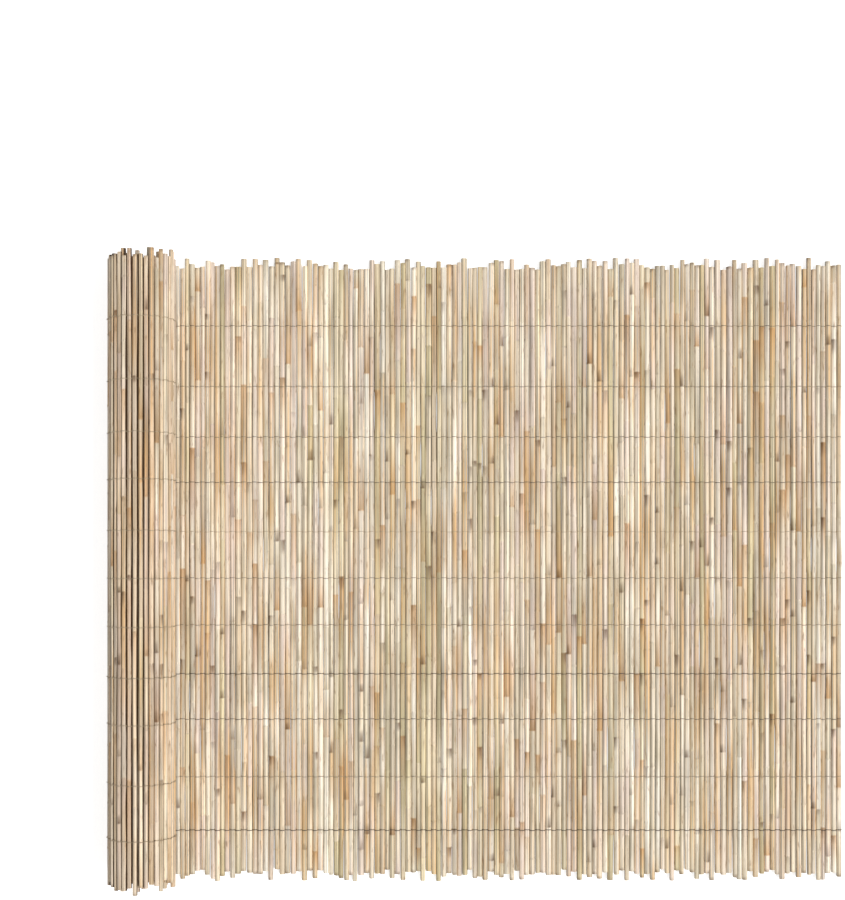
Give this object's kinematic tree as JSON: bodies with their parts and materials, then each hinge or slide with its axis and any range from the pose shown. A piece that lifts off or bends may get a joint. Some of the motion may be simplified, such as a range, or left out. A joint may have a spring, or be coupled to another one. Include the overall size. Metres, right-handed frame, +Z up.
{
  "type": "reed screening mat",
  "caption": "Garden screening mat of cut reed stems laid side by side and bound by rows of twined tie wire, lying open with an end rolled up.",
  "frame": {"origin": "middle of the mat's outline on the ground it lies on", "axes": "+X along the mat's length from the roll to the open end, +Y along the reeds, +Z up from the ground"},
  "size_m": [1.426, 1.2236, 0.1401],
  "materials": {
    "reed": "dry natural stem",
    "tie_wire": "dull"
  },
  "bodies": {
    "root": {"reed_run": "reed", "reed_roll": "reed", "face_wire_01": "tie_wire", "face_wire_02": "tie_wire", "face_wire_03": "tie_wire", "face_wire_04": "tie_wire", "face_wire_05": "tie_wire", "face_wire_06": "tie_wire", "face_wire_07": "tie_wire", "face_wire_08": "tie_wire", "face_wire_09": "tie_wire", "face_wire_10": "tie_wire", "face_wire_11": "tie_wire", "back_wire_01": "tie_wire", "back_wire_02": "tie_wire", "back_wire_03": "tie_wire", "back_wire_04": "tie_wire", "back_wire_05": "tie_wire", "back_wire_06": "tie_wire", "back_wire_07": "tie_wire", "back_wire_08": "tie_wire", "back_wire_09": "tie_wire", "back_wire_10": "tie_wire", "back_wire_11": "tie_wire"}
  },
  "joints": []
}
